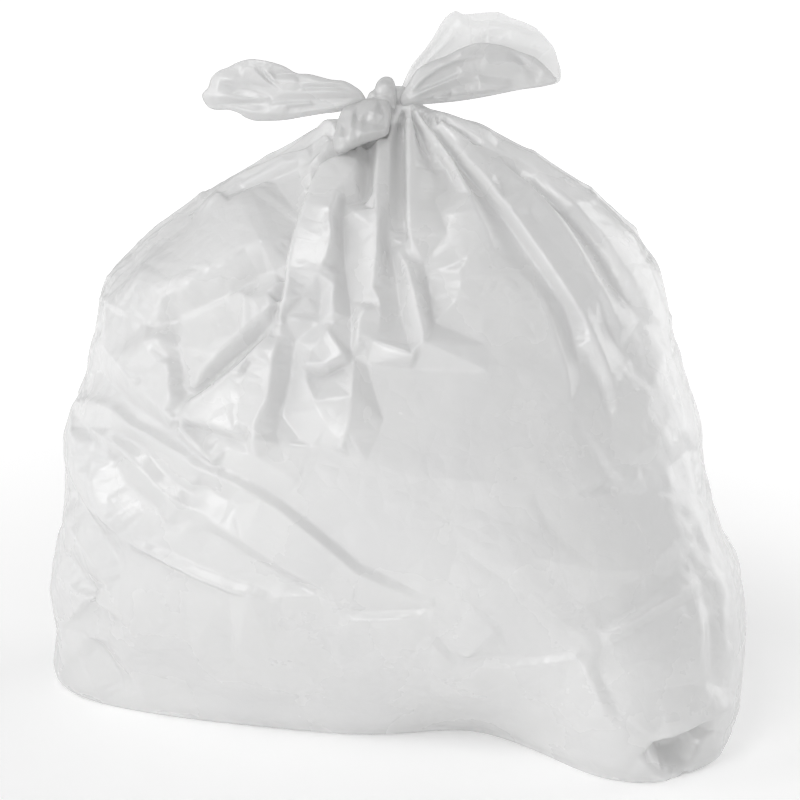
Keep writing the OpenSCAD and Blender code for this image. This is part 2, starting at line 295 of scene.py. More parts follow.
# Height in millimetres, below zero for a groove, then x and y of each point of the fold in the
# photograph. A word in front names a special kind. A lap is an edge of film that stands over what
# lies on one side of it, a hang grows from its start on, and a fan starts at the knot, near its
# full height. Spots are single points.
STROKES = [
    # shoulder on the left
    (-3, 319, 138, 302, 144, 287, 151, 266, 162, 243, 174),
    (-2.4, 241, 168, 226, 180, 205, 197, 180, 215, 157, 233, 144, 249, 121, 279, 100, 302),
    (3, 306, 150, 290, 156, 273, 164, 255, 172, 236, 180, 220, 193, 205, 207, 194, 219),
    (-2.4, 312, 158, 292, 168, 272, 176, 256, 181, 240, 187, 228, 194),
    (3.4, 264, 183, 241, 199, 221, 216, 206, 243, 195, 262, 176, 285, 160, 305, 146, 324),
    (4.8, 288, 240, 272, 244, 247, 250, 230, 262, 196, 279, 168, 299),
    (-4.8, 290, 270, 276, 270, 262, 271, 246, 281, 228, 292, 212, 299, 186, 311, 152, 326),
    (4.2, 284, 298, 264, 314, 244, 331, 224, 350, 206, 368, 196, 385),
    (-4.4, 274, 322, 258, 339, 240, 354, 222, 370, 200, 388, 180, 402),
    (2, 288, 281, 276, 287, 262, 297, 250, 298, 238, 292),
    (1.8, 148, 262, 128, 288, 112, 312),
    (-2.6, 266, 181, 282, 181, 298, 184, 310, 188),
    (-4.5, 387, 137, 370, 141, 352, 148, 340, 157, 328, 166, 316, 182),
    (3, 340, 118, 332, 128, 326, 136),
    (2.5, 339, 140, 330, 146, 322, 158, 310, 166),
    (-2.5, 322, 134, 330, 134, 338, 136),
    # drape down the middle
    ("lap", 6.5, 280, 335, 282, 314, 289, 296, 292, 270, 298, 243, 310, 211, 317, 193, 328, 171,
     344, 162, 359, 146),
    (6.5, 356, 152, 357, 170, 349, 186, 338, 198, 330, 214, 332, 240, 327, 262, 316, 279,
     304, 296),
    ("hang", 6, 284, 316, 280, 335, 274, 360, 272, 379, 269, 400, 259, 418, 255, 437),
    (-2.4, 296, 340, 290, 372, 284, 400, 276, 430),
    (-3, 345, 205, 343, 225, 344, 250, 346, 275, 350, 300, 352, 325),
    (4, 335, 268, 334, 285, 333, 300, 334, 322),
    (-3, 322, 292, 318, 308, 320, 322),
    (3.5, 333, 322, 318, 343, 302, 365),
    (6, 302, 365, 325, 367, 352, 352),
    (-2, 304, 374, 324, 377, 350, 364),
    ("hang", 3.5, 304, 371, 312, 395, 323, 418, 341, 442),
    ("hang", 4.5, 353, 356, 352, 395, 349, 424, 342, 443),
    ("fan", 5, 380, 143, 380, 165, 378, 190, 377, 220, 376, 252, 373, 284, 369, 303),
    (5, 369, 303, 361, 319, 358, 352),
    (3, 371, 300, 379, 300, 381, 319, 376, 338, 361, 352),
    ("fan", -4.5, 368, 146, 368, 165, 367, 185, 364, 205),
    ("fan", 3, 399, 112, 393, 126, 389, 141, 389, 165, 388, 190, 388, 215),
    ("fan", -5, 402, 112, 402, 135, 401, 160, 402, 185, 403, 210, 404, 235, 405, 250),
    (-4, 388, 228, 392, 252, 397, 284, 401, 316, 409, 341),
    ("fan", 5.5, 409, 110, 409, 130, 410, 150, 411, 175, 411, 200, 411, 225, 412, 257),
    ("hang", 6, 398, 252, 408, 268, 412, 287, 416, 309, 422, 332, 424, 343, 412, 356),
    (-2.4, 424, 262, 430, 292, 434, 322),
    (2, 346, 216, 360, 213, 373, 209),
    (4, 275, 331, 262, 344, 248, 361, 214, 388, 176, 414),
    ("hang", 4, 250, 361, 242, 384, 240, 421),
    (4.5, 176, 414, 212, 423, 250, 434),
    (-2, 180, 424, 212, 433, 246, 444),
    ("spot", -1.5, 412, 368, 366, 364, 300, 440),
    (3.6, 167, 356, 172, 372, 173, 392, 173, 410),
    (-2.4, 178, 345, 182, 372, 181, 396),
    (2.4, 166, 356, 152, 369, 141, 381),
    ("spot", 4, 150, 344, 158, 340),
    # shoulder on the right
    ("fan", 3.4, 412, 111, 418, 120, 425, 129, 432, 138, 440, 150, 450, 163, 456, 175, 463, 188,
     469, 200, 476, 214, 483, 228, 491, 243, 500, 256),
    ("fan", -3, 412, 118, 419, 133, 426, 149, 433, 164, 437, 175),
    (-2, 437, 152, 447, 168, 454, 181, 459, 190),
    (1.6, 434, 200, 441, 216, 448, 233, 455, 246, 465, 254, 475, 262, 486, 272, 497, 277,
     509, 276, 520, 274),
    (1.6, 458, 262, 460, 280, 459, 296),
    (-4.2, 427, 125, 440, 138, 451, 152, 461, 165, 471, 176, 482, 187, 492, 199, 501, 210,
     511, 223, 521, 237, 531, 252, 541, 267, 551, 281, 559, 294, 567, 306, 572, 318, 575, 331,
     577, 346, 580, 361, 582, 378),
    (2.8, 436, 126, 450, 140, 461, 153, 471, 166, 482, 177, 493, 190, 503, 203, 514, 217,
     524, 231, 534, 245, 545, 260, 556, 276, 566, 291, 576, 307, 585, 322, 593, 338, 601, 355,
     608, 372, 613, 388, 618, 406),
    ("fan", 2.8, 418, 112, 432, 119, 445, 127, 457, 136, 468, 146, 479, 158, 490, 173, 502, 188),
    ("fan", -2.2, 424, 116, 440, 123, 456, 130, 470, 138, 484, 146),
    ("fan", 2.2, 428, 112, 446, 120, 464, 130, 480, 140, 496, 148),
    (-3.6, 498, 152, 509, 163, 520, 173, 531, 182, 542, 191, 554, 201, 566, 211, 578, 223,
     590, 236, 599, 247, 606, 259, 614, 272, 622, 288, 632, 304, 643, 318),
    (2.4, 512, 152, 527, 164, 541, 177, 555, 190, 569, 203, 581, 217, 593, 230, 605, 244,
     614, 256, 623, 270, 633, 284, 643, 298, 651, 312),
    (2.4, 502, 163, 516, 175, 530, 188, 544, 203, 556, 217, 566, 230, 576, 246, 586, 263,
     596, 281, 605, 297, 613, 312, 620, 330),
    (1.5, 530, 212, 543, 228, 554, 243, 563, 256, 573, 268, 583, 280, 592, 292, 602, 303),
    (-1.8, 604, 314, 612, 332, 622, 350, 632, 363),
    (1.2, 518, 284, 523, 303, 530, 324, 536, 342, 541, 354),
    (1.4, 533, 285, 545, 302, 551, 322, 559, 345, 565, 367, 569, 390, 573, 410),
    (-1.6, 590, 356, 602, 380, 610, 400, 612, 420),
    (1.6, 667, 330, 660, 362, 652, 385, 645, 408, 635, 425, 627, 445),
    (1.6, 688, 385, 678, 405, 668, 420, 655, 440, 640, 452, 630, 466),
    (-1.2, 698, 442, 682, 458, 668, 470),
    (-1.6, 600, 492, 608, 480, 615, 466),
    (1.6, 625, 492, 632, 478, 640, 465),
    (1, 478, 304, 486, 330, 489, 356, 489, 380),
    # left, middle and below
    (3.2, 103, 345, 122, 364, 138, 383, 155, 400, 174, 416, 193, 439, 218, 469),
    (-2, 92, 362, 108, 384, 128, 404, 150, 417, 172, 434, 192, 451),
    ("lap", 2.2, 65, 400, 100, 402, 115, 410, 130, 425, 150, 435, 175, 450, 200, 468, 225, 478,
     250, 491, 275, 505, 302, 526, 334, 552, 356, 571, 388, 586, 414, 599, 432, 603),
    (-2.6, 108, 428, 124, 437, 140, 449, 150, 460, 161, 474, 176, 487, 192, 497, 210, 506),
    (1.6, 100, 434, 116, 444, 132, 457, 144, 470, 156, 484, 172, 497, 190, 508),
    (-2, 192, 483, 205, 487, 215, 495, 235, 505),
    (-4, 98, 450, 108, 458, 119, 484, 139, 500, 154, 515, 169, 531),
    (3.6, 92, 462, 97, 490, 105, 514, 119, 533),
    (-2.2, 165, 520, 172, 527, 178, 533),
    (-3, 193, 520, 205, 532, 220, 540, 235, 550, 250, 560, 266, 570, 285, 580, 303, 590,
     325, 600),
    (1.6, 200, 512, 216, 524, 232, 533, 248, 543, 264, 553, 284, 566, 306, 578, 330, 590),
    (2.6, 122, 536, 135, 544, 150, 550, 165, 558, 180, 566, 196, 575, 215, 582, 235, 590,
     255, 595, 274, 600),
    (-1.2, 146, 541, 162, 549, 178, 557, 194, 565, 212, 573, 234, 581, 256, 587, 282, 597),
    (-1.6, 121, 545, 136, 554, 152, 561, 168, 569, 186, 577, 206, 586, 228, 594),
    (2.4, 70, 425, 80, 440, 88, 455),
    (-2.2, 77, 418, 87, 438, 98, 448),
    (2.6, 64, 448, 76, 478, 90, 503, 106, 524),
    (-2.4, 66, 468, 76, 498, 90, 522, 100, 536, 112, 556, 122, 573),
    (2.6, 60, 490, 70, 520, 86, 548, 100, 570, 112, 590),
    (-2.6, 62, 550, 76, 572, 90, 590, 101, 604, 113, 621),
    (2.8, 70, 585, 92, 596, 118, 611, 130, 623, 143, 643, 156, 658),
    (-3, 84, 638, 104, 658, 117, 678, 126, 698),
    (2.2, 62, 620, 80, 650, 92, 675, 104, 700),
    (1.8, 108, 640, 126, 660, 138, 680, 146, 700),
    (1.6, 228, 446, 256, 456, 280, 470, 306, 488),
    # below the middle and on the right
    (0.7, 690, 493, 620, 494, 551, 495, 514, 486, 475, 480, 443, 478, 401, 476, 388, 467,
     356, 458, 323, 447, 280, 443),
    (-1.2, 340, 613, 362, 613, 384, 612, 410, 611, 436, 608),
    (1.2, 344, 619, 366, 619, 390, 618, 418, 616),
    ("lap", 1.1, 421, 629, 440, 652, 458, 667, 497, 667, 540, 664, 579, 658),
    (1.4, 499, 623, 480, 645, 462, 660),
    (1.4, 584, 660, 592, 680, 600, 700, 607, 714, 613, 723),
    (-0.8, 592, 658, 603, 678, 611, 696, 620, 714),
    (1.2, 549, 525, 529, 556, 508, 582),
    (-1.4, 645, 570, 635, 580, 620, 590, 600, 600, 585, 608, 570, 620, 560, 630),
    (-1.6, 688, 566, 676, 574, 664, 586, 648, 600, 630, 611, 610, 621, 590, 634),
    (-1.6, 707, 592, 690, 602, 670, 610, 652, 620, 635, 632, 615, 642, 583, 655),
    (1.4, 700, 578, 684, 590, 666, 599, 648, 610, 630, 622, 612, 632),
    (1, 700, 608, 702, 630, 703, 655, 704, 682),
    (-1, 709, 612, 711, 634, 712, 658, 713, 684),
    (2.5, 665, 496, 692, 509, 701, 529, 714, 561, 721, 592, 725, 630, 730, 663, 734, 690),
    (3.5, 738, 692, 728, 704, 712, 713, 698, 720, 684, 727, 668, 733, 652, 741),
    (-12, 650, 750, 664, 746, 678, 742, 692, 738, 706, 736, 720, 733),
    (-12, 662, 760, 676, 758, 690, 752, 704, 744),
    (2.4, 640, 756, 652, 768, 668, 777, 686, 776),
]


def stroke_points(stroke, step):
    """Points along one measured fold, each with its height in millimetres."""
    kind, height, *line = stroke if isinstance(stroke[0], str) else ("plain", *stroke)
    p = np.reshape(line, (-1, 2)).astype(float)
    if kind == "spot":
        return [(x, y, height) for x, y in p]
    length = np.linalg.norm(np.diff(p, axis=0), axis=1).sum()
    p = resample(p, max(3, int(length / step) + 1))
    share = np.linspace(0, 1, len(p))
    ends = 0.25 + 0.75 * smooth(share / 0.2) * smooth((1 - share) / 0.2)
    if kind == "hang":
        ends = smooth(0.15 + share / 0.6)
    if kind == "fan":
        ends = 0.7 + 0.3 * smooth(share / 0.2) - smooth((share - 0.8) / 0.2)
    points = [(x, y, height * e) for (x, y), e in zip(p, ends)]
    if kind == "lap":
        ahead = np.gradient(p, axis=0)
        ahead /= np.linalg.norm(ahead, axis=1, keepdims=True)
        low = p + np.stack([ahead[:, 1], -ahead[:, 0]], 1) * LAP_STEP
        points += [(x, y, -0.5 * height * e) for (x, y), e in zip(low, ends)]
    return points


def fold_relief(strokes, step, gap, clear, height):
    """Heights in millimetres over the picture: flat facets between the measured folds.

    Film that is thinner than paper folds into facets, so the folds' points are joined into
    triangles, and the height is plain on each of them."""
    points = np.array([p for stroke in strokes for p in stroke_points(stroke, step)])
    draw = np.random.RandomState(RELIEF_SEED)
    for x in range(-MARGIN, PICTURE + MARGIN + 1, gap):
        for y in range(-MARGIN, PICTURE + MARGIN + 1, gap):
            spot = np.array([x, y]) + draw.uniform(-0.3, 0.3, 2) * gap
            anchor = draw.uniform(-height, height)
            if np.hypot(*(points[:, :2] - spot).T).min() > clear:
                points = np.vstack([points, [spot[0], spot[1], anchor]])
    flat = [Vector(p[:2]) for p in points]
    verts, _, faces, origin, _, _ = delaunay_2d_cdt(flat, [], [], 0, JOINED)
    verts = np.array([v[:] for v in verts])
    heights = np.array([np.mean([points[i, 2] for i in o]) for o in origin])
    size = PICTURE + 2 * MARGIN
    relief = np.zeros((size, size))
    for face in faces:
        corner = verts[list(face)] + MARGIN
        low = np.maximum(np.floor(corner.min(axis=0)).astype(int), 0)
        high = np.minimum(np.ceil(corner.max(axis=0)).astype(int) + 1, size)
        if (high <= low).any():
            continue
        gx, gy = np.meshgrid(np.arange(low[0], high[0]), np.arange(low[1], high[1]))
        (ax, ay), (bx, by), (cx, cy) = corner
        whole = (bx - ax) * (cy - ay) - (cx - ax) * (by - ay)
        if abs(whole) < 1e-6:
            continue
        v = ((gx - ax) * (cy - ay) - (cx - ax) * (gy - ay)) / whole
        w = ((bx - ax) * (gy - ay) - (gx - ax) * (by - ay)) / whole
        inside = (v >= -0.01) & (w >= -0.01) & (v + w <= 1.01)
        h = heights[list(face)]
        value = h[0] * (1 - v - w) + h[1] * v + h[2] * w
        relief[low[1]:high[1], low[0]:high[0]][inside] = value[inside]
    relief[1:-1, 1:-1] += 0.2 * (relief[:-2, 1:-1] + relief[2:, 1:-1] + relief[1:-1, :-2]
                                 + relief[1:-1, 2:] - 4 * relief[1:-1, 1:-1])
    return relief


# Folds all round
PLEATS = 30
PLEAT_SEED = 11

# Where pleats end, as shares of the height, and how often
PLEAT_ENDS = ([0.82, 0.7, 0.55, 0.4], [0.35, 0.3, 0.2, 0.15])

# Least and greatest height of a pleat in millimetres, and width as a share of the way round
PLEAT_HEIGHT = (4, 9)
PLEAT_WIDTH = (0.005, 0.009)

# Slack folds: seed, count, lowest and highest place as shares of the height, and height
SLACK_FOLDS = (21, 60, 0.05, 0.8, 6.0)

# Creases: size, seed, count, and height
CREASES = ((46.0, 5, 5, 3.0), (19.0, 9, 4, 0.9))


def pleats(rows, share):
    """Gathers that run down from the neck, sharp on their ridges. In millimetres, outward."""
    draw = np.random.RandomState(PLEAT_SEED)
    u = np.arange(rows.shape[1]) / rows.shape[1]
    centre = rows.mean(axis=1, keepdims=True)
    radius = np.linalg.norm((rows - centre)[..., :2], axis=2)
    total = np.zeros(rows.shape[:2])
    for k in range(PLEATS):
        middle = (k + draw.uniform(-0.32, 0.32)) / PLEATS
        end = draw.choice(PLEAT_ENDS[0], p=PLEAT_ENDS[1])
        height = draw.uniform(*PLEAT_HEIGHT) * (1.25 - 0.4 * (end > 0.75))
        width = draw.uniform(*PLEAT_WIDTH) * (1 + 2.2 * (1 - share))
        drift = draw.uniform(-0.03, 0.03) * (1 - share) + 0.004 * np.sin(9 * share + k)
        off = (u[None, :] - middle - drift[:, None] + 0.5) % 1 - 0.5
        fade = band(share, end - 0.05, end + 0.16)
        bump = np.exp(-np.abs(off) / width[:, None])
        total += fade[:, None] * np.minimum(height, 0.30 * radius) * bump
    total = total - 0.7 * np.minimum(9, 0.3 * radius) * band(share, 0.4, 0.8)[:, None]
    return total * (1 - 0.5 * band(share, 0.86, 0.96))[:, None]


def slack_folds(rows, seed, count, low, high, height):
    """Long slack folds between two heights, each bent a little. In millimetres, outward."""
    draw = np.random.RandomState(seed)
    u = np.arange(rows.shape[1])[None, :] / rows.shape[1]
    z = rows[..., 2] / NECK_H
    total = np.zeros(rows.shape[:2])
    for _ in range(count):
        middle_u, middle_z = draw.uniform(0, 1), draw.uniform(low, high)
        lean, length = draw.uniform(-1.2, 1.2), draw.uniform(0.10, 0.24)
        width = draw.uniform(0.010, 0.022)
        du = (u - middle_u + 0.5) % 1 - 0.5
        dz = (z - middle_z) * 0.33
        along = du * math.cos(lean) + dz * math.sin(lean)
        across = dz * math.cos(lean) - du * math.sin(lean)
        across = across + draw.uniform(-3, 3) * along ** 2
        fade = smooth(1.3 - np.abs(along) / length)
        form = np.exp(-np.abs(across) / width) - 0.4 * np.exp(-(across / width / 2.4) ** 2)
        total += draw.uniform(0.5, 1) * height * fade * form
    return total


def creases(points, size, seed, count, height):
    """Straight sharp creases in many directions, as on crumpled film. In millimetres."""
    draw = np.random.RandomState(seed)
    bend = noise(points, size * 2.6, seed + 50)
    total = np.zeros(points.shape[:-1])
    for k in range(count):
        direction = draw.normal(size=3)
        direction /= np.linalg.norm(direction)
        step = points @ direction / size / draw.uniform(0.8, 1.7) + 0.45 * bend + draw.uniform(0, 1)
        mask = smooth(0.5 + 1.3 * noise(points, size * 1.8, seed + 7 * k + 1))
        total += (np.abs(step % 1 - 0.5) * 2 - 0.5) * mask
    return total / math.sqrt(count) * height


# Relaxation of the slack film: springs by rows down, columns across, spare length and stiffness
SPRINGS = (
    (0, 1, 1.035, 0.9),
    (1, 0, 1.022, 0.9),
    (1, 1, 1.026, 0.6),
    (1, -1, 1.026, 0.6),
    (0, 2, 1.030, 0.16),
    (2, 0, 1.018, 0.16),
)
RELAX_STEPS = 140
INWARD = 1.6
OUTWARD = 7.0
SAG = 0.02
FRONT_CALM = 0.9
SHARP_STEPS = 4
SHARP_LIKENESS = 0.12


def shifted(p, down, side):
    """Each point's neighbour that many rows up and columns across. The last rows have none."""
    other = np.roll(p, -side, axis=1) if side else p
    return other[down:]


def two_colours(count, step, closed):
    """Two sets of starts of springs that span step places, so that no place is used twice."""
    i = np.arange(count if closed else count - step)
    even = i // step % 2 == 0
    return i[even], i[~even]


def spring_pass(p, rest, down, side, stiffness):
    """Moves the ends of one kind of spring towards its length at rest."""
    rows, columns = p.shape[:2]
    for a in two_colours(rows if down else columns, down or side, not down):
        if down:
            start, end = p[a], np.roll(p[a + down], -side, axis=1)
            length_at_rest = rest[a]
        else:
            start, end = p[:, a], p[:, (a + side) % columns]
            length_at_rest = rest[:, a]
        gap = end - start
        length = np.sqrt(np.einsum("ijk,ijk->ij", gap, gap))
        move = gap * (0.5 * stiffness * (1 - length_at_rest / length))[..., None]
        if down:
            p[a] += move
            p[a + down] -= np.roll(move, side, axis=1)
        else:
            p[:, a] += move
            p[:, (a + side) % columns] -= move


def relax(rows, free, slack):
    """Lets the film take up its spare length in folds of its own, near where it already is.

    free is 0 where a point stays. How far a point moves along its normal has a limit inward and
    outward, because the contents hold the film from inside."""
    home = rows.astype(np.float32)
    n = normals(rows).astype(np.float32)
    p = home + n * noise(rows, 14.0, 3)[..., None].astype(np.float32) * 0.5
    springs = []
    for down, side, spare, stiffness in SPRINGS:
        gap = shifted(home, down, side) - home[:len(home) - down]
        length = np.sqrt((gap ** 2).sum(axis=2))
        more = 1 + (spare - 1) * slack[:len(length)]
        springs.append((down, side, (length * more).astype(np.float32), stiffness))
    free = free.astype(np.float32)[..., None]
    for _ in range(RELAX_STEPS):
        before = p.copy()
        p[..., 2] -= SAG
        for down, side, rest, stiffness in springs:
            spring_pass(p, rest, down, side, stiffness)
        away = p - home
        off = (away * n).sum(axis=2, keepdims=True)
        slide = away - off * n
        p = home + slide * 0.985 + n * np.clip(off, -INWARD, OUTWARD)
        p = before + (p - before) * free
        p[..., 2] = np.maximum(p[..., 2], 0)
    return p.astype(float)


def sharpened(rows):
    """Turns soft folds into flat facets with sharp creases, as thin film has.

    Each quad's normal is averaged with its neighbours that lie nearly the same way, and the
    points then move to suit those normals."""
    def corners(p):
        return p[:-1], np.roll(p, -1, axis=1)[:-1], np.roll(p, -1, axis=1)[1:], p[1:]

    a, b, c, d = corners(rows)
    flat = np.cross(c - a, d - b)
    flat /= np.maximum(np.linalg.norm(flat, axis=2, keepdims=True), 1e-9)
    for _ in range(SHARP_STEPS):
        total = np.zeros_like(flat)
        for down in (-1, 0, 1):
            for side in (-1, 0, 1):
                other = np.roll(np.roll(flat, down, axis=0), side, axis=1)
                unlike = ((other - flat) ** 2).sum(axis=2, keepdims=True)
                total += other * np.exp(-unlike / (2 * SHARP_LIKENESS ** 2))
        total[[0, -1]] = flat[[0, -1]]
        flat = total / np.linalg.norm(total, axis=2, keepdims=True)
    for _ in range(2 * SHARP_STEPS):
        middle = sum(corners(rows)) / 4
        push = np.zeros_like(rows)
        for down in (0, 1):
            for side in (0, 1):
                n, at = np.roll(flat, side, axis=1), np.roll(middle, side, axis=1)
                part = slice(1, None) if down else slice(0, -1)
                push[part] += n * (n * (at - rows[part])).sum(axis=2, keepdims=True)
        push[[0, -1]] = 0
        rows = rows + push / 4
    return rows


# Meshes
FILM_TRIANGLES = 192000
INSET = 2.5
PLAIN_STEPS = 24

# Share of the measured folds that goes in before the relaxation, and share after it
FOLDS_BEFORE = 0.3
FOLDS_AFTER = 1.4

# Rows next to the neck that keep their form, before and after the refining
NECK_ROWS = 6
NECK_ROWS_FINE = 8

# The folded corner at the bottom right, in the photograph, with its depth in millimetres
TUCK = (684, 748, -130)
TUCK_REACH = 46.0


def skin_faces(rows, columns):
    """Quads between rows of points, and a fan at either end round one more point each."""
    a = np.arange(rows * columns).reshape(rows, columns)
    b = np.roll(a, -1, axis=1)
    quads = np.stack([a[:-1], b[:-1], b[1:], a[1:]], axis=-1).reshape(-1, 4)
    low, high = rows * columns, rows * columns + 1
    fans = [(int(b[0, j]), int(a[0, j]), low) for j in range(columns)]
    fans += [(int(a[-1, j]), int(b[-1, j]), high) for j in range(columns)]
    return quads.tolist() + fans


def make_mesh(name, points, faces):
    """A smooth shaded object, from points in millimetres."""
    mesh = bpy.data.meshes.new(name)
    mesh.from_pydata((np.asarray(points) * MM).tolist(), [], faces)
    mesh.polygons.foreach_set("use_smooth", [True] * len(mesh.polygons))
    mesh.update()
    piece = bpy.data.objects.new(name, mesh)
    bpy.context.scene.collection.objects.link(piece)
    return piece


def closed_skin(name, rows):
    """An object from rows of points, closed at the first and the last row."""
    ends = [rows[0].mean(axis=0), rows[-1].mean(axis=0)]
    points = np.vstack([rows.reshape(-1, 3), ends])
    return make_mesh(name, points, skin_faces(*rows.shape[:2]))


def seen_relief(x, y, relief):
    """Height of a relief at places of the picture."""
    x = np.clip(x + MARGIN, 0, relief.shape[1] - 2)
    y = np.clip(y + MARGIN, 0, relief.shape[0] - 2)
    i, j = y.astype(int), x.astype(int)
    u, v = x - j, y - i
    top = relief[i, j] * (1 - u) + relief[i, j + 1] * u
    low = relief[i + 1, j] * (1 - u) + relief[i + 1, j + 1] * u
    return top * (1 - v) + low * v


def refined(rows):
    """Twice as many columns and rows, on a smooth surface through the old points."""
    middle = (9 * (rows + np.roll(rows, -1, axis=1)) - np.roll(rows, 1, axis=1)
              - np.roll(rows, -2, axis=1)) / 16
    wide = np.stack([rows, middle], axis=2).reshape(len(rows), -1, 3)
    middle = (wide[:-1] + wide[1:]) / 2
    middle[1:-1] = (9 * (wide[1:-2] + wide[2:-1]) - wide[:-3] - wide[3:]) / 16
    fine = np.empty((2 * len(rows) - 1,) + wide.shape[1:])
    fine[::2], fine[1::2] = wide, middle
    return fine


def ahead_share(n):
    """1 where a normal looks straight at the camera's side, -1 on the far side."""
    return -(n @ AHEAD)


def tuck_share(rows, power):
    """1 at the folded corner and 0 away from it."""
    return np.exp(-(np.linalg.norm(rows - place(*TUCK), axis=2) / TUCK_REACH) ** power)


def film_rows(relief):
    """The film before the relaxation, and the share of the height of each of its rows."""
    rows = rounded_turn(film_base())
    share = rows[..., 2].mean(axis=1) / NECK_H
    share[:FLOOR_ROWS] = 0
    n = normals(rows)
    facing = band(ahead_share(n), 0.02, 0.36)
    seen = FOLDS_BEFORE * seen_relief(*picture(rows), relief)
    around = pleats(rows, share) + slack_folds(rows, *SLACK_FOLDS)
    around = around * (1 - band(ahead_share(n), -0.12, 0.14))
    mask = band(rows[..., 2], 0, 25)
    high = band(share, 0.55, 0.9)[:, None]
    small = sum(creases(rows, *values) for values in CREASES) * (1 - 0.86 * facing)
    out = facing * seen + around + small * (1 - 0.55 * high)
    rows = rows + n * ((out - INSET) * mask)[..., None]
    last = rows[-1]
    centre = last.mean(axis=0)
    spokes = last - centre
    spokes = spokes / np.linalg.norm(spokes, axis=1, keepdims=True)
    extra = np.array([centre + spokes * (NECK_R * r) for r, _ in NECK_TOP])
    extra[..., 2] = [[NECK_H + up] for _, up in NECK_TOP]
    return np.concatenate([rows, extra]), share


def slackened(rows, share):
    """The film after it has buckled where it is slack, mostly away from the camera."""
    top = len(NECK_TOP)
    free = np.ones(rows.shape[:2])
    free[-top:] = 0
    free[:-top] *= (1 - band(share, 0.9, 0.97))[:, None]
    free[:FLOOR_ROWS] *= 0.15
    slack = 0.5 + 0.5 * band(rows[..., 2], 120, 300) + 0.5 * noise(rows, 80.0, 77)
    facing = band(ahead_share(normals(rows)), 0.1, 0.5)
    return relax(rows, free, np.maximum(slack, 0) * (1 - FRONT_CALM * facing))


def plain_normals(rows):
    """Normals of the film without its folds."""
    plain = rows.copy()
    for _ in range(PLAIN_STEPS):
        plain[1:-1] += 0.25 * (plain[:-2] + plain[2:] - 2 * plain[1:-1])
        plain += 0.25 * (np.roll(plain, 1, axis=1) + np.roll(plain, -1, axis=1) - 2 * plain)
    return normals(plain)


def make_film():
    """The skin: its form, the slack, sharp creases behind, and the measured folds in front."""
    relief = fold_relief(STROKES, *FILM_RELIEF)
    rows, share = film_rows(relief)
    rows[..., 2] = np.maximum(rows[..., 2], 0)
    if RELAX_STEPS:
        rows = slackened(rows, share)
    wall = slice(FLOOR_ROWS, -NECK_ROWS)
    calm = band(ahead_share(normals(rows)), -0.1, 0.25)[wall, :, None]
    sharp = sharpened(rows[wall])
    rows[wall] = sharp + (rows[wall] - sharp) * calm
    rows = refined(rows)
    n = plain_normals(rows)
    facing = band(ahead_share(n), 0.1, 0.48) * band(rows[..., 2], 0, 8)
    facing[-NECK_ROWS_FINE:] = 0
    facing = np.maximum(facing, tuck_share(rows, 4) * band(ahead_share(n), -0.8, -0.4))
    folds = seen_relief(*picture(rows), relief)
    rows = rows + n * (FOLDS_AFTER * facing * folds)[..., None]
    rows[..., 2] = np.maximum(rows[..., 2], 0)
    return lightened(closed_skin("film", rows), FILM_TRIANGLES)


def lightened(piece, triangles):
    """Takes triangles out of flat places, where they show least."""
    lighten = piece.modifiers.new("lighten", "DECIMATE")
    lighten.ratio = triangles / (2 * len(piece.data.polygons))
    bpy.context.view_layer.update()
    result = piece.evaluated_get(bpy.context.evaluated_depsgraph_get())
    mesh = bpy.data.meshes.new_from_object(result)
    piece.modifiers.clear()
    piece.data = mesh
    mesh.name = piece.name
    return piece


# Knot and ears
def leaf(name, outline, strokes, lean, belly, root, taper, rings, columns):
    """Film gathered into a closed form, from its outline and its folds in the picture.

    lean is the depth of its middle, and how that grows to the right and downwards for each pixel.
    belly is half its thickness at the root, and taper the share that is lost at the far end."""
    line = spline(outline + outline[:1], columns + 1)[:-1]
    centre = (line.max(axis=0) + line.min(axis=0)) / 2
    relief = fold_relief(strokes, *LEAF_RELIEF)
    share = np.sin(np.linspace(0.02, 1, rings) * math.pi / 2)
    far = np.linalg.norm(line - root, axis=1).max()
    rows = []
    for side in (-1, 1):
        for s in share if side < 0 else share[-2::-1]:
            x, y = (centre + (line - centre) * s).T
            reach = np.hypot(x - root[0], y - root[1]) / far
            thick = belly * (1 - taper * band(reach, 0.1, 0.75)) * math.sqrt(max(1 - s ** 3, 0))
            fold = seen_relief(x, y, relief) * min(1.0, 3 * (1 - s) + 0.35)
            middle = lean[0] + lean[1] * (x - root[0]) + lean[2] * (y - root[1])
            depth = middle + side * (thick + fold)
            rows.append([place(*p) for p in zip(x, y, depth)])
    return closed_skin(name, np.array(rows))


